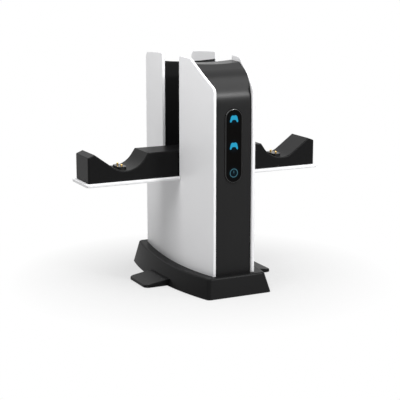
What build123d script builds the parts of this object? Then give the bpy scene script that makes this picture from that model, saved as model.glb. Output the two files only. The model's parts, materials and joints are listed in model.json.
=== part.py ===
from build123d import *
import os
from math import atan2, cos, degrees, hypot, radians, sin, sqrt, tan

os.makedirs("parts", exist_ok=True)

# All sizes are in millimetres. +X is the viewer's right, the front faces -Y and +Z is up.
# The origin is on the floor, under the middle of the base.

# Tower: a slim column with bowed sides, a slope at the front and a gently arched top
tower_depth = 110.4
tower_width = 47.5
side_radius = 331.0
widest_y = 11.7
tower_top = 172.9
top_radius = 480.0
top_peak_y = 5.0
bend_drop = 20.7
crest_run = 29.2
bend_radius = 5.0
crest_radius = 6.0
rear_corner_radius = 5.0

# Side panels: bowed white skins with an open-topped slot, hooked into the core
panel_wall = 2.6
panel_gap = 0.15
panel_edge_radius = 1.2
slot_corner_radius = 1.5
hook_width = 8.0
hook_height = 4.0
hook_reach = 2.6
hook_gap = 0.2
hook_low = 42.0
hook_drop = 34.9

# Black covers: the front strip with the slope, and the back wall with the rear roof
strip_recess = 1.8
cover_wall = 2.2
cover_slope_angle = 22.0
cover_bend_radius = 27.0
cover_crest_run = 30.0
cover_crest_radius = 7.0
front_roof_drop = 4.3
rear_roof_drop = 6.0
rear_roof_fall = 5.6
roof_dish = 1.3

# Core: the black inner body with the channel through it
core_wall = 1.8
core_floor = 2.5
slot_width = 28.4

# Arms: a white tray and a black saddle-shaped cradle on each side
arm_y = 3.8
arm_height = 80.0
centre_gap = 0.3
tray_thickness = 2.4
tray_width = 31.5
tray_lap = 2.5
tray_corner_radius = 2.5
tray_edge_radius = 0.7
tray_gap = 0.3
slot_gap = 0.6
tail_lap = 8.0
cradle_width = 26.0
cradle_wall = 2.0
cradle_reach = 95.5
shoulder_rise = 19.6
trough_rise = 7.6
trough_radius = 18.0
trough_inner_angle = 55.0
trough_outer_angle = 36.0
lip_rise = 21.1
lip_run = 5.3
lip_drop = 2.0
cradle_edge_radius = 0.9
cradle_corner_radius = 1.5

# Sprung charging contacts in each trough
pin_pitch = 8.0
pin_radius = 0.8
pin_rise = 1.6
pin_travel = 1.0
pin_tip_radius = 0.5
pin_clearance = 0.05
collar_radius = 1.25
collar_height = 0.7
collar_gap = 0.1
stem_radius = 0.45
stem_gap = 0.4
bore_radius = 1.4
guide_length = 1.6
post_rise = 2.0
post_length = 6.5
post_width = 13.5
post_corner_radius = 2.0
post_gap = 0.15
seat_depth = 3.0
seat_length = 15.0
flange_length = 12.0
flange_width = 20.6
flange_thickness = 1.6
contact_board_thickness = 1.2
contact_screw_offset = 8.4
spring_radius = 0.9
spring_wire = 0.16
spring_turns = 4
spring_gap = 0.03

# Base: a flared skirt under a gently dished deck, closed by a plate with two stabiliser tongues
base_end_margin = 10.1
base_side_margin = 13.35
base_side_radius = 231.0
base_widest_y = 5.8
crown_height = 20.0
crown_side_margin = 4.35
crown_side_radius = 458.0
crown_widest_y = 14.8
crown_front_inset = 6.65
crown_rear_inset = 4.7
base_corner_radius = 3.5
deck_low = 13.9
deck_low_y = -22.0
deck_radius = 850.0
rim_radius = 1.6
base_wall = 2.2
base_roof = 2.6
foot_drop = 0.3
plate_thickness = 2.2
plate_gap = 0.2
tongue_y = 0.2
tongue_width = 31.7
tongue_reach = 54.2
tongue_root_height = 5.0
tongue_tip_height = 2.2
tongue_corner_radius = 4.0
tongue_edge_radius = 0.6
tongue_gap = 0.2
tongue_lap = 3.0
foot_radius = 5.0
foot_thickness = 1.6
foot_end_inset = 26.0
tongue_foot_inset = 8.0
tongue_foot_radius = 4.0
ballast_thickness = 3.0
ballast_side_gap = 5.0
ballast_end_gap = 1.5

# Indicator window, behind a pill-shaped opening in the front strip
window_height = 54.5
window_width = 14.2
window_drop = 62.6
window_bevel = 0.2
sign_pitch = 19.8
lens_gap = 0.1
lens_rise = 0.8
lens_edge_radius = 0.7
lens_flange = 1.5
lens_flange_thickness = 1.0
guide_depth = 4.5
guide_cell = 8.6
guide_cell_radius = 1.7
sign_screw_gap = 0.5
sign_board_width = 16.0
sign_board_radius = 1.0
sign_board_thickness = 1.6
led_width = 3.5
led_height = 2.8
led_depth = 0.8

# Main board and supply inlet, low in the tower
board_length = 58.0
board_width = 24.0
board_thickness = 1.6
board_height = 28.0
board_gap = 0.8
part_pitch = 12.0
coil_width = 8.0
coil_height = 3.0
chip_width = 5.0
chip_height = 1.0
socket_width = 12.0
socket_depth = 5.0
socket_height = 4.0
inlet_width = 8.94
inlet_height = 3.26
inlet_length = 7.4
inlet_wall = 0.3
inlet_sink = 0.3
inlet_gap = 0.2
inlet_tongue_width = 6.7
inlet_tongue_height = 0.7
inlet_tongue_length = 4.5

# Fixings
head_radius = 2.4
head_height = 1.5
head_round_share = 0.4
recess_depth_share = 0.5
recess_span_share = 1.2
recess_arm_share = 0.28
shank_radius = 1.2
shank_gap = 0.05
pilot_spare = 0.2
head_gap = 0.2
boss_radius = 3.2
boss_inset = 4.0
small_head_radius = 1.5
small_head_height = 1.0
small_shank_radius = 0.7
plate_screw_length = 8.0
tower_screw_length = 12.0
cradle_screw_length = 9.0
tray_screw_length = 8.0
board_screw_length = 5.0
contact_screw_length = 4.6
screw_end_inset = 13.0
screw_side_inset = 8.0
tower_screw_x = 9.0
tower_screw_y = 34.0
arm_screw_x = 12.0
arm_screw_pitch = 15.0
tray_screw_tower_gap = 12.25
tray_screw_end_inset = 10.5

# Working allowances: how far a cut runs past a face, and how near counts as touching
cut_spare = 1.0
touch = 0.01


def top_height(y):
    """Height of the panels' arched top edge at y."""
    return tower_top - top_radius + sqrt(top_radius**2 - (y - top_peak_y) ** 2)


# Places worked out from the sizes above
front_y = -tower_depth / 2
rear_y = tower_depth / 2
tower_side = (tower_width / 2, side_radius, widest_y)
base_half = rear_y + base_end_margin
base_width = tower_width + 2 * base_side_margin
crown_width = tower_width + 2 * crown_side_margin
base_side = (base_width / 2, base_side_radius, base_widest_y)
crown_side = (crown_width / 2, crown_side_radius, crown_widest_y)
side_lean = (base_width - crown_width) / 2 / (crown_height - foot_drop)
crest_y = front_y + crest_run
bend_height = tower_top - bend_drop
hook_high = tower_top - hook_drop
front_roof_height = tower_top - front_roof_drop
rear_roof_height = tower_top - rear_roof_drop
window_z = tower_top - window_drop
cover_crest_y = front_y + cover_crest_run
cover_slope = radians(cover_slope_angle)
slot_front_y = arm_y - slot_width / 2
slot_rear_y = arm_y + slot_width / 2
strip_y = front_y + strip_recess
strip_inner_y = strip_y + cover_wall
back_y = rear_y - strip_recess
back_inner_y = back_y - cover_wall
inner_margin = -(panel_wall + panel_gap)
cavity_margin = inner_margin - core_wall
tray_top = arm_height + tray_thickness
shoulder_height = tray_top + shoulder_rise
trough_floor = tray_top + trough_rise
lip_height = tray_top + lip_rise
lip_x = cradle_reach - lip_run
tray_reach = cradle_reach + tray_lap
tray_screw_inner_x = tower_width / 2 + tray_screw_tower_gap
tray_screw_outer_x = cradle_reach - tray_screw_end_inset
plate_top = foot_drop + plate_thickness
ballast_top = plate_top + ballast_thickness
reach = 2 * tray_reach
ceiling = 2 * tower_top
UP = (Align.CENTER, Align.CENTER, Align.MIN)


def half_width(y, margin=0.0, side=tower_side):
    """Half the width at y of the tower, or of another bowed side, with its arc moved out by margin."""
    half, radius, middle_y = side
    return half - radius + sqrt((radius + margin) ** 2 - (y - middle_y) ** 2)


def deck_height(y):
    """Height of the base's top at y: lowest in front of the middle, it sweeps up towards both ends."""
    return deck_low + deck_radius - sqrt(deck_radius**2 - (y - deck_low_y) ** 2)


def slope_height(y, inset):
    """Height of the front cover's slope at y, moved in by inset square to the slope."""
    return front_roof_height + (y - cover_crest_y) * tan(cover_slope) - inset / cos(cover_slope)


def outline(*points):
    return make_face(Polyline(*points, close=True))


def slab_xy(face, low, high):
    return extrude(Plane.XY.offset(low) * face, high - low)


def slab_xz(face, front, back):
    return extrude(Plane.XZ.offset(-front) * face, front - back)


def slab_yz(face, left, right):
    return extrude(Plane.YZ.offset(left) * face, right - left)


def block(x0, x1, y0, y1, z0, z1):
    return Pos((x0 + x1) / 2, (y0 + y1) / 2, (z0 + z1) / 2) * Box(x1 - x0, y1 - y0, z1 - z0)


def barrel(y0, y1, margin, side=tower_side):
    """Plan with straight ends at y0 and y1, and bowed sides moved out by margin."""
    middle_y = side[2]
    x0 = half_width(y0, margin, side)
    xm = half_width(middle_y, margin, side)
    x1 = half_width(y1, margin, side)
    sides = [
        Line((-x0, y0), (x0, y0)),
        ThreePointArc((x0, y0), (xm, middle_y), (x1, y1)),
        Line((x1, y1), (-x1, y1)),
        ThreePointArc((-x1, y1), (-xm, middle_y), (-x0, y0)),
    ]
    return make_face(sides)


def column(margin, end):
    """The tower's full-height column, moved out by margin at the sides and by end at the front and back."""
    return slab_xy(barrel(front_y - end, rear_y + end, margin), 0, ceiling)


def above_deck(lift):
    """The space above the base's top, raised by lift."""
    front, middle, back = [(y, deck_height(y) + lift) for y in (-reach, 0, reach)]
    edges = [
        ThreePointArc(front, middle, back),
        Polyline(back, (reach, ceiling), (-reach, ceiling), front),
    ]
    return slab_yz(make_face(edges), -reach, reach)


def post(x, y, low, high, radius):
    return Pos(x, y, low) * Cylinder(radius, high - low, align=UP)


def both_sides(part):
    return [mirror(part, about=Plane.YZ), part]


def screw(length, radius=head_radius, height=head_height, shank=shank_radius):
    """A pan-head screw with its seat at the origin and its shank up along +Z."""
    head = Pos(0, 0, -height) * Cylinder(radius, height, align=UP)
    head = fillet(head.edges().group_by(Axis.Z)[0], height * head_round_share)
    recess_depth = height * recess_depth_share
    arm = Box(radius * recess_span_share, radius * recess_arm_share, 2 * recess_depth)
    cross = Pos(0, 0, -height) * (arm + Rot(0, 0, 90) * arm)
    return head + Cylinder(shank, length, align=UP) - cross


def group(name, solids):
    export_step(Compound(label=name, children=list(solids)), f"parts/{name}.step")


def single(name, solid):
    solid.label = name
    export_step(solid, f"parts/{name}.step")


# Side panels
bend = (front_y, bend_height)
crest = (crest_y, top_height(crest_y))
rear_top = (rear_y, top_height(rear_y))
panel_edges = [
    Polyline((rear_y, 0), (front_y, 0), bend, crest),
    ThreePointArc(crest, (top_peak_y, tower_top), rear_top),
    Line(rear_top, (rear_y, 0)),
]
panel_profile = make_face(panel_edges)
for place, radius in ((bend, bend_radius), (crest, crest_radius), (rear_top, rear_corner_radius)):
    corner = panel_profile.vertices().sort_by_distance(place)[0]
    panel_profile = fillet(corner, radius)

slot_opening = outline(
    (slot_front_y, arm_height),
    (slot_rear_y, arm_height),
    (slot_rear_y, ceiling),
    (slot_front_y, ceiling),
)
panel_face = panel_profile - slot_opening
mouth_places = [(y, top_height(y)) for y in (slot_front_y, slot_rear_y)]
slot_mouth = [panel_face.vertices().sort_by_distance(place)[0] for place in mouth_places]
panel_face = fillet(slot_mouth, slot_corner_radius)

hook_front_y = (front_y + slot_front_y) / 2
hook_rear_y = (slot_rear_y + rear_y) / 2
hook_points = [(y, z) for y in (hook_front_y, hook_rear_y) for z in (hook_low, hook_high)]

panel_skin = column(0, cut_spare) - column(-panel_wall, 2 * cut_spare)
right_panel = panel_skin & slab_yz(panel_face, 0, reach) & above_deck(0)
outer_face = right_panel.faces().sort_by(SortBy.AREA)[-1]
rim_edges = [e for e in outer_face.edges() if e.center().Z > deck_height(e.center().Y) + cut_spare]
right_panel = fillet(rim_edges, panel_edge_radius)
for y, z in hook_points:
    hook_tip = half_width(y, -panel_wall) - hook_reach
    hook_root = half_width(y, -panel_wall / 2)
    right_panel += block(
        hook_tip, hook_root, y - hook_width / 2, y + hook_width / 2, z - hook_height / 2, z + hook_height / 2
    )
left_panel = mirror(right_panel, about=Plane.YZ)
single("left_panel", left_panel)
single("right_panel", right_panel)


def front_region(inset):
    """Side view of everything under the front strip, its rounded slope and its level roof."""
    face_y = strip_y + inset
    bend_z = slope_height(face_y, inset)
    roof_z = front_roof_height - inset
    roof_y = face_y + (roof_z - bend_z) / tan(cover_slope)
    face = outline(
        (face_y, 0),
        (face_y, bend_z),
        (roof_y, roof_z),
        (slot_rear_y, roof_z),
        (slot_rear_y, 0),
    )
    lower = face.vertices().sort_by_distance((face_y, bend_z))[0]
    face = fillet(lower, cover_bend_radius - inset)
    upper = face.vertices().sort_by_distance((roof_y, roof_z))[0]
    return fillet(upper, cover_crest_radius - inset)


def rear_region(inset):
    """Side view of everything under the rear roof and inside the back wall."""
    depth = strip_recess + inset
    fall = rear_roof_fall / (rear_y - slot_rear_y)
    roof_inset = inset * hypot(1, fall)
    near_z = rear_roof_height - roof_inset + fall * slot_width
    back = rear_y - depth
    back_z = rear_roof_height - roof_inset - fall * (back - slot_rear_y)
    face = outline((slot_front_y, 0), (slot_front_y, near_z), (back, back_z), (back, 0))
    corner = face.vertices().sort_by_distance((back, back_z))[0]
    return fillet(corner, rear_corner_radius - depth)


# Front cover, with the window opening, its bevel and two posts for the indicator board
before_channel = block(-reach, reach, -reach, slot_front_y, 0, ceiling)
behind_channel = block(-reach, reach, slot_rear_y, reach, 0, ceiling)
inside_panels = column(inner_margin, cut_spare)
front_cover = slab_yz(front_region(0) - front_region(cover_wall), -reach, reach)
front_cover = front_cover & inside_panels & before_channel & above_deck(0)
dish_radius = (tower_width**2 / 4 + roof_dish**2) / (2 * roof_dish)
dish_lift = dish_radius - roof_dish
front_dish = Pos(0, front_roof_height + dish_lift) * Circle(dish_radius)
front_cover -= slab_xz(front_dish, strip_y, slot_front_y)
pill = Rot(0, 0, 90) * SlotOverall(window_height, window_width)
window_pill = Pos(0, window_z) * pill
front_cover -= slab_xz(window_pill, strip_y - cut_spare, strip_inner_y + cut_spare)
window_edges = [
    e
    for e in front_cover.edges()
    if abs(e.center().Y - strip_y) < touch
    and abs(e.center().X) < window_width / 2 + touch
    and abs(e.center().Z - window_z) < window_height / 2 + touch
]
front_cover = chamfer(window_edges, window_bevel)

lens_back_y = strip_inner_y + lens_flange_thickness
sign_board_y = lens_back_y + guide_depth
sign_screw_z = window_height / 2 + lens_flange + boss_radius + sign_screw_gap
sign_board_height = 2 * (sign_screw_z + boss_inset)
sign_screws = [(0, window_z + side * sign_screw_z) for side in (-1, 1)]
for x, z in sign_screws:
    stud = slab_xz(Pos(x, z) * Circle(boss_radius), strip_inner_y - cover_wall / 2, sign_board_y)
    pilot_y = sign_board_y + sign_board_thickness - board_screw_length - pilot_spare
    pilot = slab_xz(Pos(x, z) * Circle(shank_radius + shank_gap), pilot_y, sign_board_y)
    front_cover = front_cover + stud - pilot
single("front_cover", front_cover)

# Indicator window: the lens, the light guide with a cell for each sign, and its board
lens_front_y = strip_y - lens_rise
lens_pill = offset(window_pill, -lens_gap)
flange_pill = offset(window_pill, lens_flange)
indicator_lens = slab_xz(lens_pill, lens_front_y, strip_inner_y)
indicator_lens = fillet(indicator_lens.faces().sort_by(Axis.Y)[0].edges(), lens_edge_radius)
indicator_lens += slab_xz(flange_pill, strip_inner_y, lens_back_y)
single("indicator_lens", indicator_lens)

sign_heights = [window_z + step * sign_pitch for step in (1, 0, -1)]
light_guide = slab_xz(window_pill, lens_back_y, sign_board_y)
for z in sign_heights:
    cell = Pos(0, z) * RectangleRounded(guide_cell, guide_cell, guide_cell_radius)
    light_guide -= slab_xz(cell, lens_back_y, sign_board_y)
single("light_guide", light_guide)

sign_board_face = Pos(0, window_z) * RectangleRounded(sign_board_width, sign_board_height, sign_board_radius)
for x, z in sign_screws:
    sign_board_face -= Pos(x, z) * Circle(shank_radius + shank_gap)
indicator_board = slab_xz(sign_board_face, sign_board_y, sign_board_y + sign_board_thickness)
single("indicator_board", indicator_board)

leds = [
    slab_xz(Pos(0, z) * Rectangle(led_width, led_height), sign_board_y - led_depth, sign_board_y)
    for z in sign_heights
]
group("indicator_leds", leds)

# Rear cover, with the supply inlet's opening
board_rear_y = back_inner_y - board_gap
board_top = board_height + board_thickness
inlet_z = board_top + inlet_height / 2
inlet_y = back_y - inlet_sink
inlet_face = Pos(0, inlet_z) * SlotOverall(inlet_width, inlet_height)
rear_cover = slab_yz(rear_region(0) - rear_region(cover_wall), -reach, reach)
rear_cover = rear_cover & inside_panels & behind_channel & above_deck(0)
rear_slant = degrees(atan2(rear_roof_fall, rear_y - slot_rear_y))
rear_dish = Rot(-90 - rear_slant, 0, 0) * Pos(0, -dish_lift) * Cylinder(dish_radius, 2 * tower_depth)
rear_cover -= Pos(0, slot_rear_y, rear_roof_height) * rear_dish
rear_cover -= slab_xz(offset(inlet_face, inlet_gap), back_inner_y - cut_spare, back_y + cut_spare)
single("rear_cover", rear_cover)

# Core: bowed side walls, the channel's two walls and floor, and a floor on the base
channel_zone = block(
    -reach, reach, slot_front_y - core_wall, slot_rear_y + core_wall, arm_height - core_wall, ceiling
)
slot_zone = block(-reach, reach, slot_front_y, slot_rear_y, arm_height, ceiling)
low_zone = block(-reach, reach, slot_front_y, slot_rear_y, 0, arm_height)
core_shape = slab_yz(front_region(cover_wall), -reach, reach)
core_shape += slab_yz(rear_region(cover_wall), -reach, reach)
core_shape = (core_shape + low_zone) & inside_panels & above_deck(0)
cavity = (column(cavity_margin, cut_spare) & above_deck(core_floor)) - channel_zone
core_frame = core_shape - slot_zone - cavity

board_middle_y = board_rear_y - board_length / 2
board_points = [
    (side * (board_width / 2 - boss_inset), board_middle_y + end * (board_length / 2 - boss_inset))
    for side in (-1, 1)
    for end in (-1, 1)
]
tower_screw_points = [(side * tower_screw_x, end * tower_screw_y) for side in (-1, 1) for end in (-1, 1)]
for x, y in board_points:
    core_frame += post(x, y, 0, board_height, boss_radius) & above_deck(core_floor / 2)
for x, y in tower_screw_points:
    boss_top = deck_height(y) + core_floor + boss_inset
    core_frame += post(x, y, 0, boss_top, boss_radius) & above_deck(core_floor / 2)
for x, y in board_points:
    pilot_base = board_top - board_screw_length - pilot_spare
    core_frame -= post(x, y, pilot_base, board_height, shank_radius + shank_gap)
for x, y in tower_screw_points:
    core_frame -= post(x, y, 0, deck_height(y) + core_floor + boss_inset, shank_radius + shank_gap)
arm_screw_points = [(arm_screw_x, arm_y + side * arm_screw_pitch / 2) for side in (-1, 1)]
for x, y in arm_screw_points:
    for side in (-1, 1):
        core_frame -= post(side * x, y, arm_height - core_wall, arm_height, shank_radius + shank_gap)
for y, z in hook_points:
    hook_window = block(
        half_width(y, cavity_margin) - cut_spare,
        half_width(y),
        y - hook_width / 2 - hook_gap,
        y + hook_width / 2 + hook_gap,
        z - hook_height / 2 - hook_gap,
        z + hook_height / 2 + hook_gap,
    )
    for window in both_sides(hook_window):
        core_frame -= window
single("core_frame", core_frame)

# Main board with its larger parts, and the supply inlet on its rear edge
main_board = block(
    -board_width / 2, board_width / 2, board_rear_y - board_length, board_rear_y, board_height, board_top
)
for x, y in board_points:
    main_board -= post(x, y, board_height, board_top, shank_radius + shank_gap)
single("main_board", main_board)

board_spot = Pos(0, board_middle_y, board_top)
coil = board_spot * Box(coil_width, coil_width, coil_height, align=UP)
chip = board_spot * Pos(0, part_pitch) * Box(chip_width, chip_width, chip_height, align=UP)
socket = board_spot * Pos(0, -part_pitch) * Box(socket_width, socket_depth, socket_height, align=UP)
group("charge_parts", [coil, chip, socket])

inlet_shell = slab_xz(inlet_face, inlet_y - inlet_length, inlet_y)
inlet_shell -= slab_xz(offset(inlet_face, -inlet_wall), inlet_y - inlet_length + inlet_wall, inlet_y)
single("inlet_shell", inlet_shell)

inlet_root_y = inlet_y - inlet_length + inlet_wall
tongue_face = Pos(0, inlet_z) * Rectangle(inlet_tongue_width, inlet_tongue_height)
single("inlet_tongue", slab_xz(tongue_face, inlet_root_y, inlet_root_y + inlet_tongue_length))

# Trays: white plates outside the panels, with a narrower tail through the slot to the middle
tray_plate = Pos(0, arm_y) * RectangleRounded(2 * tray_reach, tray_width, tray_corner_radius)
right_tray = slab_xy(tray_plate, arm_height, tray_top)
tray_rims = right_tray.faces().sort_by(Axis.Z)[0].edges() + right_tray.faces().sort_by(Axis.Z)[-1].edges()
right_tray = fillet(tray_rims, tray_edge_radius) & block(0, reach, -reach, reach, 0, ceiling)
right_tray -= column(tray_gap, 0)
tail_width = slot_width - 2 * slot_gap
right_tray += block(
    centre_gap / 2,
    half_width(widest_y) + tail_lap,
    arm_y - tail_width / 2,
    arm_y + tail_width / 2,
    arm_height,
    tray_top,
)
tray_screw_points = [(tray_screw_inner_x, arm_y), (tray_screw_outer_x, arm_y)]
tray_screw_z = arm_height + head_height
for x, y in arm_screw_points + tray_screw_points:
    right_tray -= post(x, y, arm_height, tray_top, shank_radius + shank_gap)
for x, y in tray_screw_points:
    right_tray -= post(x, y, arm_height, tray_screw_z, head_radius + head_gap)
left_tray = mirror(right_tray, about=Plane.YZ)
single("left_tray", left_tray)
single("right_tray", right_tray)

# Cradles: hollow saddles, open below, each with a trough across it
inner_slope = radians(trough_inner_angle)
outer_slope = radians(trough_outer_angle)
half_corner = (radians(180) - inner_slope - outer_slope) / 2
valley_drop = trough_radius * (sin(outer_slope + half_corner) / sin(half_corner) - 1)
valley_z = trough_floor - valley_drop
valley_x = lip_x - (lip_height - valley_z) / tan(outer_slope)
shoulder_reach = valley_x - (shoulder_height - valley_z) / tan(inner_slope)
trough_x = valley_x + trough_radius * cos(outer_slope + half_corner) / sin(half_corner)


def cradle_face(inset, low):
    """Side view of a cradle, moved in by inset at its ends and its top."""
    top = shoulder_height - inset
    end_x = cradle_reach - inset
    shoulder_x = shoulder_reach - inset * tan(inner_slope / 2)
    deep_z = valley_z - inset / sin(half_corner) * sin(outer_slope + half_corner)
    deep_x = valley_x - inset / sin(half_corner) * cos(outer_slope + half_corner)
    peak_z = lip_height - inset
    peak_x = deep_x + (peak_z - deep_z) / tan(outer_slope)
    face = outline(
        (centre_gap / 2 + inset, low),
        (centre_gap / 2 + inset, top),
        (shoulder_x, top),
        (deep_x, deep_z),
        (peak_x, peak_z),
        (end_x, peak_z - lip_drop),
        (end_x, low),
    )
    valley = face.vertices().sort_by_distance((deep_x, deep_z))[0]
    return fillet(valley, trough_radius + inset)


cradle_front_y = arm_y - cradle_width / 2
cradle_rear_y = arm_y + cradle_width / 2
cradle_shape = slab_xz(cradle_face(0, tray_top), cradle_front_y, cradle_rear_y)
end_edges = [e for e in cradle_shape.edges().filter_by(Axis.Z) if e.center().X > lip_x]
cradle_shape = fillet(end_edges, cradle_corner_radius)
crown_edges = [
    e
    for e in cradle_shape.edges()
    if min(abs(e.center().Y - cradle_front_y), abs(e.center().Y - cradle_rear_y)) < touch
    and e.center().X > centre_gap
    and e.center().Z > tray_top + cut_spare
]
cradle_shape = fillet(crown_edges, cradle_edge_radius)
hollow_face = cradle_face(cradle_wall, tray_top - cradle_wall)
right_cradle = cradle_shape - slab_xz(hollow_face, cradle_front_y + cradle_wall, cradle_rear_y - cradle_wall)

seat_z = trough_floor - seat_depth
flange_z = seat_z - flange_thickness
contact_board_z = flange_z - contact_board_thickness
contact_pilot_z = contact_board_z + contact_screw_length + pilot_spare
seat_pad = block(
    trough_x - seat_length / 2,
    trough_x + seat_length / 2,
    cradle_front_y,
    cradle_rear_y,
    seat_z,
    trough_floor + trough_radius,
)
right_cradle += seat_pad & cradle_shape
for x, y in arm_screw_points + tray_screw_points:
    right_cradle += post(x, y, tray_top, ceiling, boss_radius) & cradle_shape
for x, y in arm_screw_points:
    pilot_top = arm_height - core_wall + cradle_screw_length + pilot_spare
    right_cradle -= post(x, y, tray_top, pilot_top, shank_radius + shank_gap)
for x, y in tray_screw_points:
    pilot_top = tray_screw_z + tray_screw_length + pilot_spare
    right_cradle -= post(x, y, tray_top, pilot_top, shank_radius + shank_gap)
post_face = Pos(trough_x, arm_y) * RectangleRounded(post_length, post_width, post_corner_radius)
right_cradle -= slab_xy(offset(post_face, post_gap), tray_top, ceiling)
contact_screw_points = [(trough_x, arm_y + side * contact_screw_offset) for side in (-1, 1)]
for x, y in contact_screw_points:
    right_cradle -= post(x, y, seat_z, contact_pilot_z, small_shank_radius + shank_gap)
left_cradle = mirror(right_cradle, about=Plane.YZ)
single("left_cradle", left_cradle)
single("right_cradle", right_cradle)

# Charging contacts: a moulded block with two stepped bores, and the board that closes them
post_top = trough_floor + post_rise
collar_stop_z = post_top - guide_length
pin_points = [(trough_x, arm_y + side * pin_pitch / 2) for side in (-1, 1)]
flange_face = Pos(trough_x, arm_y) * RectangleRounded(flange_length, flange_width, post_corner_radius)
contact_block = slab_xy(post_face, seat_z, post_top) + slab_xy(flange_face, flange_z, seat_z)
for x, y in pin_points:
    contact_block -= post(x, y, flange_z, collar_stop_z, bore_radius)
    contact_block -= post(x, y, collar_stop_z, post_top, pin_radius + pin_clearance)
contact_board = slab_xy(flange_face, contact_board_z, flange_z)
for x, y in contact_screw_points:
    contact_block -= post(x, y, flange_z, seat_z, small_shank_radius + shank_gap)
    contact_board -= post(x, y, contact_board_z, flange_z, small_shank_radius + shank_gap)
for side, block_part in zip(("left", "right"), both_sides(contact_block)):
    single(f"{side}_contact_block", block_part)
for side, board_part in zip(("left", "right"), both_sides(contact_board)):
    single(f"{side}_contact_board", board_part)

# Sprung pins: a round tip, a collar that stops it under the block's step, and a stem in its spring
collar_top = collar_stop_z - collar_gap
collar_base = collar_top - collar_height
stem_base = flange_z + pin_travel + stem_gap
tip_top = post_top + pin_rise
spring_base = flange_z + spring_gap + spring_wire
spring_height = collar_base - spring_gap - spring_wire - spring_base
for place, (x, y) in zip(("front", "rear"), pin_points):
    tip = fillet(post(x, y, collar_top, tip_top, pin_radius).edges().group_by(Axis.Z)[-1], pin_tip_radius)
    pin = tip + post(x, y, collar_base, collar_top, collar_radius)
    pin += post(x, y, stem_base, collar_base, stem_radius)
    coil_path = Helix(spring_height / spring_turns, spring_height, spring_radius)
    wire_section = Plane(coil_path @ 0, z_dir=coil_path % 0) * Circle(spring_wire)
    spring = Pos(x, y, spring_base) * sweep(wire_section, path=coil_path, is_frenet=True)
    for side, pin_part in zip(("left", "right"), both_sides(pin)):
        single(f"{side}_{place}_pin", pin_part)
    for side, spring_part in zip(("left", "right"), both_sides(spring)):
        single(f"{side}_{place}_spring", spring_part)


def skirt(inset):
    """The base's flared outside, moved in by inset: straight lines from the foot to a crown over the deck."""
    foot = barrel(inset - base_half, base_half - inset, -inset, base_side)
    crown_front = inset + crown_front_inset - base_half
    crown_rear = base_half - crown_rear_inset - inset
    crown = barrel(crown_front, crown_rear, -inset, crown_side)
    return loft([Plane.XY.offset(foot_drop) * foot, Plane.XY.offset(crown_height) * crown], ruled=True)


# Base shell: flared and rounded outside, hollow below, with posts for the screws
base_shape = skirt(0)
upright_edges = [e for e in base_shape.edges() if e.bounding_box().size.Z > crown_height / 2]
base_shape = fillet(upright_edges, base_corner_radius) - above_deck(0)
base_shape = fillet(base_shape.faces().sort_by(Axis.Z)[-1].edges(), rim_radius)
base_hollow = skirt(base_wall) - above_deck(-base_roof)
base_shell = base_shape - base_hollow

plate_screw_y = base_half - screw_end_inset
plate_screw_points = [
    (side * (half_width(y, -base_wall, base_side) - screw_side_inset), y)
    for side in (-1, 1)
    for y in (-plate_screw_y, plate_screw_y)
]
tower_seat_z = ballast_top + head_height + shank_radius
under_roof = block(-reach, reach, -reach, reach, 0, ceiling) - above_deck(-base_roof / 2)
for x, y in plate_screw_points:
    base_shell += post(x, y, plate_top, crown_height, boss_radius) & under_roof
for x, y in tower_screw_points:
    base_shell += post(x, y, tower_seat_z, crown_height, boss_radius) & under_roof
for x, y in plate_screw_points:
    pilot_top = foot_drop + head_height + plate_screw_length + pilot_spare
    base_shell -= post(x, y, plate_top, pilot_top, shank_radius + shank_gap)
for x, y in tower_screw_points:
    base_shell -= post(x, y, tower_seat_z, crown_height, shank_radius + shank_gap)

# Base plate: a flat cover inside the walls, with a stabiliser tongue out under each side
wall_x = half_width(tongue_y, 0, base_side)
tongue_root_x = wall_x - base_wall - tongue_lap


def tongue_side(gap):
    return outline(
        (tongue_root_x, foot_drop - gap),
        (tongue_reach + gap, foot_drop - gap),
        (tongue_reach + gap, tongue_tip_height + gap),
        (wall_x, tongue_root_height + gap),
        (tongue_root_x, tongue_root_height + gap),
    )


tongue = slab_xz(tongue_side(0), tongue_y - tongue_width / 2, tongue_y + tongue_width / 2)
tip_corners = [e for e in tongue.edges().filter_by(Axis.Z) if e.center().X > wall_x]
tongue = fillet(tip_corners, tongue_corner_radius)
tongue_top = [f for f in tongue.faces() if f.center().X > wall_x and f.normal_at().Z > touch][0]
tongue_rims = [e for e in tongue_top.edges() if e.center().X > wall_x + tongue_edge_radius]
tongue = fillet(tongue_rims, tongue_edge_radius)
tongue_notch_half = tongue_width / 2 + tongue_gap
tongue_notch = slab_xz(tongue_side(tongue_gap), tongue_y - tongue_notch_half, tongue_y + tongue_notch_half)
for notch in both_sides(tongue_notch):
    base_shell -= notch
single("base_shell", base_shell)

plate_inset = base_wall + plate_gap + plate_thickness * side_lean
plate_half = base_half - plate_inset
base_plate = slab_xy(barrel(-plate_half, plate_half, -plate_inset, base_side), foot_drop, plate_top)
for part in both_sides(tongue):
    base_plate += part
foot_y = base_half - foot_end_inset
foot_points = [
    (side * (half_width(y, -plate_inset, base_side) - screw_side_inset), y, foot_radius)
    for side in (-1, 1)
    for y in (-foot_y, foot_y)
]
foot_points += [
    (side * (tongue_reach - tongue_foot_inset), tongue_y, tongue_foot_radius) for side in (-1, 1)
]
for x, y, radius in foot_points:
    base_plate -= post(x, y, 0, foot_thickness, radius)
for x, y in plate_screw_points:
    base_plate -= post(x, y, 0, plate_top, shank_radius + shank_gap)
    base_plate -= post(x, y, 0, foot_drop + head_height, head_radius + head_gap)
single("base_plate", base_plate)
group("rubber_feet", [post(x, y, 0, foot_thickness, radius) for x, y, radius in foot_points])

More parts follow.
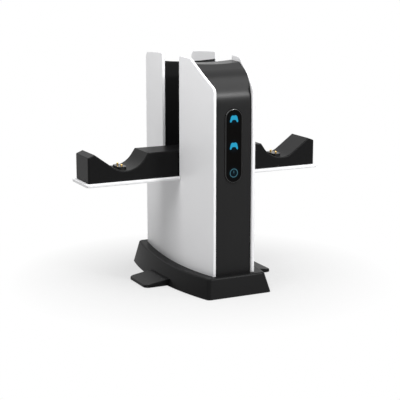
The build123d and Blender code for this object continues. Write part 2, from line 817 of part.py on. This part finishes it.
# Ballast: a steel plate lying on the base plate between the screw posts
ballast_half = plate_screw_y - boss_radius - ballast_end_gap
ballast_face = barrel(-ballast_half, ballast_half, -(base_wall + ballast_side_gap), base_side)
single("ballast_plate", slab_xy(ballast_face, plate_top, ballast_top))

# Screws
plate_screw = screw(plate_screw_length)
group("base_screws", [Pos(x, y, foot_drop + head_height) * plate_screw for x, y in plate_screw_points])
tower_screw = screw(tower_screw_length)
group("tower_screws", [Pos(x, y, tower_seat_z) * tower_screw for x, y in tower_screw_points])
arm_screw = screw(cradle_screw_length)
arm_screw_z = arm_height - core_wall
cradle_fixings = [Pos(side * x, y, arm_screw_z) * arm_screw for side in (-1, 1) for x, y in arm_screw_points]
group("cradle_screws", cradle_fixings)
tray_screw = screw(tray_screw_length)
tray_fixings = [Pos(side * x, y, tray_screw_z) * tray_screw for side in (-1, 1) for x, y in tray_screw_points]
group("tray_screws", tray_fixings)
board_screw = screw(board_screw_length)
board_fixings = [Pos(x, y, board_top) * Rot(180, 0, 0) * board_screw for x, y in board_points]
sign_screw_y = sign_board_y + sign_board_thickness
board_fixings += [Pos(x, sign_screw_y, z) * Rot(90, 0, 0) * board_screw for x, z in sign_screws]
group("board_screws", board_fixings)
contact_screw = screw(contact_screw_length, small_head_radius, small_head_height, small_shank_radius)
contact_fixings = [
    Pos(side * x, y, contact_board_z) * contact_screw for side in (-1, 1) for x, y in contact_screw_points
]
group("contact_screws", contact_fixings)
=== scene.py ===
import json
from math import cos, pi, radians, sin

import bpy
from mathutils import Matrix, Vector

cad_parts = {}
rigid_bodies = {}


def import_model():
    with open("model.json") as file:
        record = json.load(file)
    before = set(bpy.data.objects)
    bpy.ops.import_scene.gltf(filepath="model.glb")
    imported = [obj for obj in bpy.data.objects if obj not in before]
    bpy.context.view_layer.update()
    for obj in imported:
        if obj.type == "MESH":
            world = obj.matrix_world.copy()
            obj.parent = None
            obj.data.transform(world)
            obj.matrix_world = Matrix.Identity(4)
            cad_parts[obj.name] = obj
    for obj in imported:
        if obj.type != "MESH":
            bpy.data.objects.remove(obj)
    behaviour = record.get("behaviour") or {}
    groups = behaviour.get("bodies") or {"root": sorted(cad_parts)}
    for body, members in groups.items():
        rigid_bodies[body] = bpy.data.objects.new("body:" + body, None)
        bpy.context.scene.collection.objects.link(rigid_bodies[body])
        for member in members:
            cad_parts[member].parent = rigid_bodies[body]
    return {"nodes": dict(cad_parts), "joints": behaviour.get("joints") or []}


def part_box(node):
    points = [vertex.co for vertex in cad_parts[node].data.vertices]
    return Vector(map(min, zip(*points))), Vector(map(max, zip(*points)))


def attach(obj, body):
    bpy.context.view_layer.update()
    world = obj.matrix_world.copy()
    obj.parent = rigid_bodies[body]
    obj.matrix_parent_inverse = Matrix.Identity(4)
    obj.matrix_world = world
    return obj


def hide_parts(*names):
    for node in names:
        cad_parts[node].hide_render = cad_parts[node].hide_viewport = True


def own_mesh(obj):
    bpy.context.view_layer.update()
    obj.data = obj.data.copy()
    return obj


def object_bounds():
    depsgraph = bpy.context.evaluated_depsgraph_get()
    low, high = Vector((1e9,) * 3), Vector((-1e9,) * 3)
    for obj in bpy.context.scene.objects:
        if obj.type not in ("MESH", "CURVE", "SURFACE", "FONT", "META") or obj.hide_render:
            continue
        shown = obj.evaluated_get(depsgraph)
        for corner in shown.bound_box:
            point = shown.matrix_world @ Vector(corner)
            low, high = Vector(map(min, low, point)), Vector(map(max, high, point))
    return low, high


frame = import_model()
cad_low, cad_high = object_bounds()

# Rubber feet: six round pads punched from black sheet rubber.
# They are glued into shallow pockets in the underside of the base and its two tongues.

mm = 0.001
cloud_size = 30 * mm


def add_node(tree, kind, inputs=(), **settings):
    """Adds a shader node; an input is either a plain value or the socket that feeds it."""
    made = tree.nodes.new("ShaderNode" + kind)
    for name, value in settings.items():
        setattr(made, name, value)
    for socket, value in dict(inputs).items():
        if isinstance(value, bpy.types.NodeSocket):
            tree.links.new(value, made.inputs[socket])
        else:
            made.inputs[socket].default_value = value
    return made


def new_finish(name):
    """An empty finish, with its node tree, its shader and the place of a point on the part."""
    finish = bpy.data.materials.new(name)
    finish.use_nodes = True
    tree = finish.node_tree
    place = add_node(tree, "TexCoord").outputs["Object"]
    return finish, tree, tree.nodes["Principled BSDF"], place


def set_tone(tree, shader, amount, dark, light, socket="Base Color"):
    """Colours the shader between two close tones by a share from 0 to 1."""
    ramp = add_node(tree, "ValToRGB", {"Fac": amount})
    ramp.color_ramp.elements[0].color = (*dark, 1)
    ramp.color_ramp.elements[1].color = (*light, 1)
    tree.links.new(ramp.outputs["Color"], shader.inputs[socket])


def set_roughness(tree, shader, amount, low, high):
    spread = add_node(tree, "MapRange", {"Value": amount, "To Min": low, "To Max": high})
    tree.links.new(spread.outputs["Result"], shader.inputs["Roughness"])


def set_relief(tree, shader, height, depth):
    bump = add_node(tree, "Bump", {"Height": height, "Distance": depth})
    tree.links.new(bump.outputs["Normal"], shader.inputs["Normal"])


def moulded(name, dark, light, rough, grain, depth, gloss=0.5):
    """A moulded finish: cloudy between two close tones, under a grain of that size and depth."""
    finish, tree, shader, place = new_finish(name)
    cloud = add_node(tree, "TexNoise", {"Vector": place, "Scale": 1 / cloud_size, "Detail": 4.0})
    fine = add_node(tree, "TexNoise", {"Vector": place, "Scale": 1 / grain, "Detail": 2.0})
    set_tone(tree, shader, cloud.outputs["Fac"], dark, light)
    set_roughness(tree, shader, fine.outputs["Fac"], rough[0], rough[1])
    set_relief(tree, shader, fine.outputs["Fac"], depth)
    shader.inputs["Specular IOR Level"].default_value = gloss
    return finish


def dress(finish, *names):
    """Gives these pieces of the frame their finish."""
    for name in names:
        for place in frame["nodes"][name].material_slots:
            place.material = finish


rubber = moulded(
    "rubber", dark=(0.010, 0.010, 0.010), light=(0.017, 0.017, 0.017), rough=(0.7, 0.9), grain=0.5 * mm,
    depth=0.04 * mm, gloss=0.2
)
dress(rubber, "rubber_feet")

# Base: a black shell with drafted walls, closed below by a plate with two stabiliser tongues.
# Both are moulded in black plastic with a fine spark-eroded grain, and screwed together from below.

black_plastic = moulded(
    "black_plastic", dark=(0.0038, 0.0038, 0.0040), light=(0.0050, 0.0050, 0.0052), rough=(0.35, 0.45),
    grain=0.45 * mm, depth=0.010 * mm, gloss=0.08
)
dress(black_plastic, "base_shell", "base_plate")

# Ballast and screws: a steel plate in the base that keeps the dock upright, and all the screws.
# The plate is cut from zinc-coated sheet, the screws are turned and cross-recessed.
# The supply inlet's shell is rolled from the same kind of bright sheet.


def drawn_metal(name, dark, light, rough, streak):
    """A bare metal finish with fine marks left by drawing or turning, this far apart."""
    finish, tree, shader, place = new_finish(name)
    marks = add_node(
        tree, "TexNoise", {"Vector": place, "Scale": 1 / streak, "Detail": 5.0, "Roughness": 0.7}
    )
    set_tone(tree, shader, marks.outputs["Fac"], dark, light)
    set_roughness(tree, shader, marks.outputs["Fac"], rough[0], rough[1])
    set_relief(tree, shader, marks.outputs["Fac"], streak / 40)
    shader.inputs["Metallic"].default_value = 1.0
    return finish


steel = drawn_metal(
    "steel", dark=(0.46, 0.46, 0.47), light=(0.62, 0.62, 0.63), rough=(0.28, 0.42), streak=0.6 * mm
)
dress(steel, "ballast_plate", "base_screws", "tower_screws", "cradle_screws", "tray_screws")
dress(steel, "board_screws", "contact_screws", "inlet_shell")

# Core: the black inner body of the tower, whose channel shows through the slots.
# It is one smooth moulding that the covers and panels close.

core_plastic = moulded(
    "core_plastic", dark=(0.0040, 0.0040, 0.0042), light=(0.0054, 0.0054, 0.0056), rough=(0.42, 0.52),
    grain=0.7 * mm, depth=0.010 * mm, gloss=0.10
)
dress(core_plastic, "core_frame")

# Boards: the charger on its main board, the indicator board and a contact board in each cradle.
# They are glass laminate under a green mask, with tracks that stand a little proud.
# The larger parts on the main board and the inlet's tongue are moulded in a dull black resin.

track_pitch = 2.2 * mm
track_height = 0.03 * mm


def laminate(name, mask, track):
    """A circuit board: a glossy mask, lighter where a copper track runs under it."""
    finish, tree, shader, place = new_finish(name)
    cells = add_node(
        tree, "TexVoronoi", {"Vector": place, "Scale": 1 / track_pitch, "Randomness": 0.75},
        distance="MANHATTAN", feature="F1"
    )
    lines = add_node(
        tree, "MapRange", {"Value": cells.outputs["Distance"], "From Min": 0.62, "From Max": 0.68}
    )
    set_tone(tree, shader, lines.outputs["Result"], mask, track)
    set_roughness(tree, shader, lines.outputs["Result"], 0.30, 0.22)
    set_relief(tree, shader, lines.outputs["Result"], track_height)
    return finish


circuit_board = laminate("circuit_board", mask=(0.006, 0.060, 0.022), track=(0.020, 0.130, 0.050))
dress(circuit_board, "main_board", "indicator_board", "left_contact_board", "right_contact_board")
part_case = moulded(
    "part_case", dark=(0.012, 0.012, 0.013), light=(0.020, 0.020, 0.021), rough=(0.45, 0.6), grain=0.3 * mm,
    depth=0.01 * mm
)
dress(part_case, "charge_parts", "inlet_tongue")

# Front and rear covers: the black strip over the front and the slope, and the back wall.
# Both are moulded with a finer, silkier grain than the base, and clip onto the core.

silk_black = moulded(
    "silk_black", dark=(0.0120, 0.0120, 0.0122), light=(0.0140, 0.0140, 0.0142), rough=(0.27, 0.33),
    grain=0.30 * mm, depth=0.004 * mm, gloss=0.10
)
dress(silk_black, "front_cover", "rear_cover")

# Indicator window: a smoked acrylic lens over a light guide with a lamp in each cell.
# Its flat face is dulled by a dark print, and only its rounded edge, proud of the strip, is polished.
# The lamps show as the signs cut in the print, with a faint glow around them.

lens_low, lens_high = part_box("indicator_lens")
lens_middle = (lens_low + lens_high) / 2
lens_rise = 0.8 * mm
flat_front = -0.999
smear_size = 9 * mm
sign_pitch = 19.8 * mm
sign_heights = [lens_middle.z + step * sign_pitch for step in (1, 0, -1)]
glow_radius = 6.5 * mm
glow_strength = 0.012
glow_blue = (0.020, 0.440, 0.850)

smoked_lens, tree, shader, place = new_finish("smoked_lens")
smear = add_node(tree, "TexNoise", {"Vector": place, "Scale": 1 / smear_size, "Detail": 3.0}).outputs["Fac"]
set_tone(tree, shader, smear, (0.0022, 0.0021, 0.0020), (0.0030, 0.0028, 0.0027))
set_roughness(tree, shader, smear, 0.06, 0.12)
set_relief(tree, shader, smear, 0.004 * mm)
shader.inputs["Specular IOR Level"].default_value = 0.02
glow = None
for height in sign_heights:
    spot = Vector((0, lens_low.y, height))
    away = add_node(tree, "VectorMath", {0: place, 1: spot}, operation="DISTANCE").outputs["Value"]
    light = add_node(
        tree, "MapRange", {"Value": away, "From Max": glow_radius, "To Min": glow_strength, "To Max": 0.0},
        interpolation_type="SMOOTHERSTEP"
    ).outputs["Result"]
    glow = light if glow is None else add_node(tree, "Math", {0: glow, 1: light}).outputs["Value"]
shader.inputs["Emission Color"].default_value = (*glow_blue, 1)
tree.links.new(glow, shader.inputs["Emission Strength"])

polished_edge = moulded(
    "lens_edge", dark=(0.0028, 0.0028, 0.0030), light=(0.0036, 0.0036, 0.0038), rough=(0.14, 0.20),
    grain=3 * mm, depth=0.002 * mm
)
scene = bpy.context.scene
window = bpy.data.objects.new("indicator_window", frame["nodes"]["indicator_lens"].data.copy())
window.data.materials.clear()
window.data.materials.append(smoked_lens)
window.data.materials.append(polished_edge)
for face in window.data.polygons:
    if face.center.y < lens_low.y + lens_rise and face.normal.y > flat_front:
        face.material_index = 1
scene.collection.objects.link(window)
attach(window, "dock")
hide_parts("indicator_lens")

guide_white = moulded(
    "guide_white", dark=(0.70, 0.70, 0.70), light=(0.78, 0.78, 0.78), rough=(0.4, 0.5), grain=0.5 * mm,
    depth=0.01 * mm
)
dress(guide_white, "light_guide")
lamp_white = moulded(
    "lamp_white", dark=(0.72, 0.66, 0.38), light=(0.80, 0.76, 0.50), rough=(0.25, 0.35), grain=0.4 * mm,
    depth=0.01 * mm
)
dress(lamp_white, "indicator_leds")

# Signs: two lit pictograms for the two charging places and a dimmer clock.
# Each is a clear window in the lens's print, so it is as good as flush with the face.

sign_depth = 0.06 * mm
sign_proud = 0.03 * mm


def lit(name, low, high):
    """The light of a sign, a little brighter and bluer towards its top."""
    finish, tree, shader, place = new_finish(name)
    shader.inputs["Base Color"].default_value = (0, 0, 0, 1)
    shader.inputs["Roughness"].default_value = 0.3
    shader.inputs["Specular IOR Level"].default_value = 0.02
    span = add_node(tree, "TexCoord").outputs["Generated"]
    rise = add_node(tree, "SeparateXYZ", {"Vector": span}).outputs["Y"]
    set_tone(tree, shader, rise, low, high, socket="Emission Color")
    shader.inputs["Emission Strength"].default_value = 1.0
    return finish


def mesh_of(curve):
    """The mesh that a curve describes."""
    shape = bpy.data.objects.new("shape", curve)
    mesh = bpy.data.meshes.new_from_object(shape)
    bpy.data.objects.remove(shape)
    return mesh


def sign_curve(name, loops, smooth):
    """A flat sign of closed loops of points in millimetres, across and up from its middle."""
    curve = bpy.data.curves.new(name, "CURVE")
    curve.dimensions = "2D"
    curve.fill_mode = "BOTH"
    curve.extrude = sign_depth / 2
    curve.resolution_u = 16
    for loop in loops:
        spline = curve.splines.new("BEZIER")
        spline.bezier_points.add(len(loop) - 1)
        spline.use_cyclic_u = True
        for point, (across, up) in zip(spline.bezier_points, loop):
            point.co = (across * mm, up * mm, 0)
            point.handle_left_type = point.handle_right_type = "AUTO" if smooth else "VECTOR"
    return curve


def place_sign(name, loops, height, finish, smooth=True):
    """Stands the sign up on the lens at that height, as a mesh that rides on the dock."""
    sign = bpy.data.objects.new(name, mesh_of(sign_curve(name, loops, smooth)))
    sign.rotation_euler = (radians(90), 0, 0)
    sign.location = (0, lens_low.y - sign_proud + sign_depth / 2, height)
    sign.data.materials.append(finish)
    scene.collection.objects.link(sign)
    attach(sign, "dock")


def mirrored(half):
    """A closed loop from its right half, listed from the top middle to the bottom middle."""
    return half + [(-across, up) for across, up in reversed(half) if across]


def ring(radius, count=24):
    turns = [2 * pi * i / count for i in range(count)]
    return [(radius * sin(turn), radius * cos(turn)) for turn in turns]


def hand(length, width, turn):
    """A clock hand from the middle, turned clockwise from straight up."""
    half = width / 2
    corners = [(-half, -half), (half, -half), (half, length), (-half, length)]
    return [(x * cos(turn) + y * sin(turn), y * cos(turn) - x * sin(turn)) for x, y in corners]


sign_light = lit("sign_light", low=(0.030, 0.280, 0.380), high=(0.018, 0.420, 0.760))
clock_light = lit("clock_light", low=(0.050, 0.150, 0.190), high=(0.065, 0.180, 0.230))
pad_half = [
    (0, 2.40), (1.5, 2.50), (2.3, 1.9), (2.95, -0.2), (3.25, -1.9), (2.75, -2.5), (2.1, -2.0), (1.4, -0.95),
    (0.7, -0.65), (0, -0.65)
]
clock_radius = 3.25
clock_line = 0.5
hand_width = 0.4
clock_ring = [ring(clock_radius), ring(clock_radius - clock_line)]
clock_hands = [hand(1.7, hand_width, 0), hand(1.3, hand_width, radians(150))]
for name, height in zip(("upper_sign", "middle_sign"), sign_heights):
    place_sign(name, [mirrored(pad_half)], height, sign_light)
place_sign("clock_ring", clock_ring, sign_heights[2], clock_light)
place_sign("clock_hands", clock_hands, sign_heights[2], clock_light, smooth=False)

# Side panels and trays: the white skins of the tower and the white plates under the cradles.
# They are moulded in one satin white plastic; the panels hook into the core, the trays are screwed.

white_plastic = moulded(
    "white_plastic", dark=(0.775, 0.775, 0.785), light=(0.795, 0.795, 0.805), rough=(0.30, 0.36),
    grain=1.6 * mm, depth=0.004 * mm
)
dress(white_plastic, "left_panel", "right_panel", "left_tray", "right_tray")

# Cradles: hollow black saddles with an open-ended trough, screwed down through the trays.
# They are moulded like the base, with the same grain.

dress(black_plastic, "left_cradle", "right_cradle")

# Charging contacts: in each trough a block with two gold-plated pins, each on its own spring.
# The block is moulded in a hard smooth plastic, the pins are turned brass, plated.
# The springs are wound from steel wire and shorten as their pins are pressed; here each is a fixed coil
# that fills its spring's box.

contact_plastic = moulded(
    "contact_plastic", dark=(0.0065, 0.0065, 0.0068), light=(0.0085, 0.0085, 0.0088), rough=(0.22, 0.30),
    grain=0.4 * mm, depth=0.004 * mm, gloss=0.4
)
dress(contact_plastic, "left_contact_block", "right_contact_block")
gold = drawn_metal(
    "gold", dark=(0.78, 0.50, 0.16), light=(0.90, 0.64, 0.26), rough=(0.18, 0.30), streak=0.25 * mm
)
dress(gold, "left_front_pin", "left_rear_pin", "right_front_pin", "right_rear_pin")
spring_steel = drawn_metal(
    "spring_steel", dark=(0.40, 0.40, 0.42), light=(0.58, 0.58, 0.60), rough=(0.24, 0.36), streak=0.15 * mm
)
spring_turns = 4
spring_wire = 0.16 * mm
steps_per_turn = 32


def coil(low, high, winding):
    """A wire coil that fills the box between two corners, wound right (1) or left (-1)."""
    curve = bpy.data.curves.new("coil", "CURVE")
    curve.dimensions = "3D"
    curve.bevel_depth = spring_wire
    curve.bevel_resolution = 3
    curve.use_fill_caps = True
    steps = steps_per_turn * spring_turns
    radius = (high.y - low.y) / 2 - spring_wire
    centre = (low + high) / 2
    climb = high.z - low.z - 2 * spring_wire
    spline = curve.splines.new("POLY")
    spline.points.add(steps)
    for step, point in enumerate(spline.points):
        turn = 2 * pi * step / steps_per_turn
        height = low.z + spring_wire + climb * step / steps
        point.co = (centre.x + winding * radius * cos(turn), centre.y + radius * sin(turn), height, 1)
    mesh = mesh_of(curve)
    mesh.shade_smooth()
    return mesh


for joint in frame["joints"]:
    for held in joint["deforming_nodes"]:
        low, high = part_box(held["node"])
        winding = 1 if low.x > 0 else -1
        spring = bpy.data.objects.new(held["node"] + "_coil", coil(low, high, winding))
        spring.data.materials.append(spring_steel)
        scene.collection.objects.link(spring)
        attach(spring, joint["parent"])
        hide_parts(held["node"])
        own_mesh(spring)

# Studio: a white floor that fades into a white background and keeps the soft shadow.
# Three large soft lamps hang over the dock, and a small one in front draws the line along the bend.

floor_size = 6.0
floor_white = 0.46
floor_glow = 0.62
fade_start = 0.06
fade_end = 0.15
room_light = 0.12

scene.view_settings.view_transform = "Standard"


def greater(tree, first, second):
    return add_node(tree, "Math", {0: first, 1: second}, operation="MAXIMUM").outputs["Value"]


def seen_directly(tree):
    """1 for what the camera sees, straight on or in gloss or glass, and 0 for light on the part."""
    path = add_node(tree, "LightPath").outputs
    straight_or_gloss = greater(tree, path["Is Camera Ray"], path["Is Glossy Ray"])
    return greater(tree, straight_or_gloss, path["Is Transmission Ray"])


world = bpy.data.worlds.new("studio")
world.use_nodes = True
scene.world = world
tree = world.node_tree
room = add_node(tree, "Background", {"Color": (1, 1, 1, 1), "Strength": room_light})
backdrop = add_node(tree, "Background", {"Color": (1, 1, 1, 1), "Strength": 1.0})
chosen = add_node(tree, "MixShader", {0: seen_directly(tree), 1: room.outputs[0], 2: backdrop.outputs[0]})
tree.links.new(chosen.outputs[0], tree.nodes["World Output"].inputs["Surface"])

half = floor_size / 2
floor_corners = [(-half, -half, 0), (half, -half, 0), (half, half, 0), (-half, half, 0)]
floor_mesh = bpy.data.meshes.new("floor")
floor_mesh.from_pydata(floor_corners, [], [(0, 1, 2, 3)])
floor = bpy.data.objects.new("floor", floor_mesh)
scene.collection.objects.link(floor)
floor_paint, tree, shader, place = new_finish("floor_paint")
shader.inputs["Base Color"].default_value = (floor_white, floor_white, floor_white, 1)
shader.inputs["Roughness"].default_value = 0.9
shader.inputs["Specular IOR Level"].default_value = 0.0
reach = add_node(tree, "VectorMath", {0: place}, operation="LENGTH").outputs["Value"]
fade = add_node(
    tree, "MapRange",
    {"Value": reach, "From Min": fade_start, "From Max": fade_end, "To Min": floor_glow, "To Max": 1.0}
).outputs["Result"]
share = add_node(tree, "Math", {0: fade, 1: seen_directly(tree)}, operation="MULTIPLY").outputs["Value"]
glare = add_node(tree, "Emission", {"Color": (1, 1, 1, 1), "Strength": 1.0})
mixed = add_node(tree, "MixShader", {0: share, 1: shader.outputs[0], 2: glare.outputs[0]})
tree.links.new(mixed.outputs[0], tree.nodes["Material Output"].inputs["Surface"])
floor_mesh.materials.append(floor_paint)


def soft_lamp(name, place, target, size, power):
    data = bpy.data.lights.new(name, "AREA")
    data.shape = "RECTANGLE"
    data.size, data.size_y = size
    data.energy = power
    lamp = bpy.data.objects.new(name, data)
    lamp.location = place
    lamp.rotation_euler = (target - Vector(place)).to_track_quat("-Z", "Y").to_euler()
    scene.collection.objects.link(lamp)


middle = (cad_low + cad_high) / 2
soft_lamp("key_lamp", (-0.22, -0.10, 0.42), middle, size=(0.3, 0.3), power=1.5)
soft_lamp("top_lamp", (0.16, -0.22, 0.46), middle, size=(0.32, 0.32), power=1.7)
soft_lamp("front_lamp", (0.25, -0.52, 0.40), middle, size=(0.08, 0.04), power=2.2)
soft_lamp("rear_lamp", (-0.10, 0.42, 0.65), middle, size=(0.5, 0.5), power=1.2)

# Camera: eye level a little above the dock, turned to see its front and its left side.
# Its place and lens are those of the photograph, worked out from the dock's own edges.

camera_place = (-403.3 * mm, -816.75 * mm, 253.1 * mm)
camera_heading = radians(26.24)
camera_pitch = radians(11.96)
camera_data = bpy.data.cameras.new("camera")
camera_data.lens = 108.6
camera_data.sensor_width = 36.0
camera = bpy.data.objects.new("camera", camera_data)
camera.location = camera_place
camera.rotation_euler = (pi / 2 - camera_pitch, 0, -camera_heading)
scene.collection.objects.link(camera)
scene.camera = camera
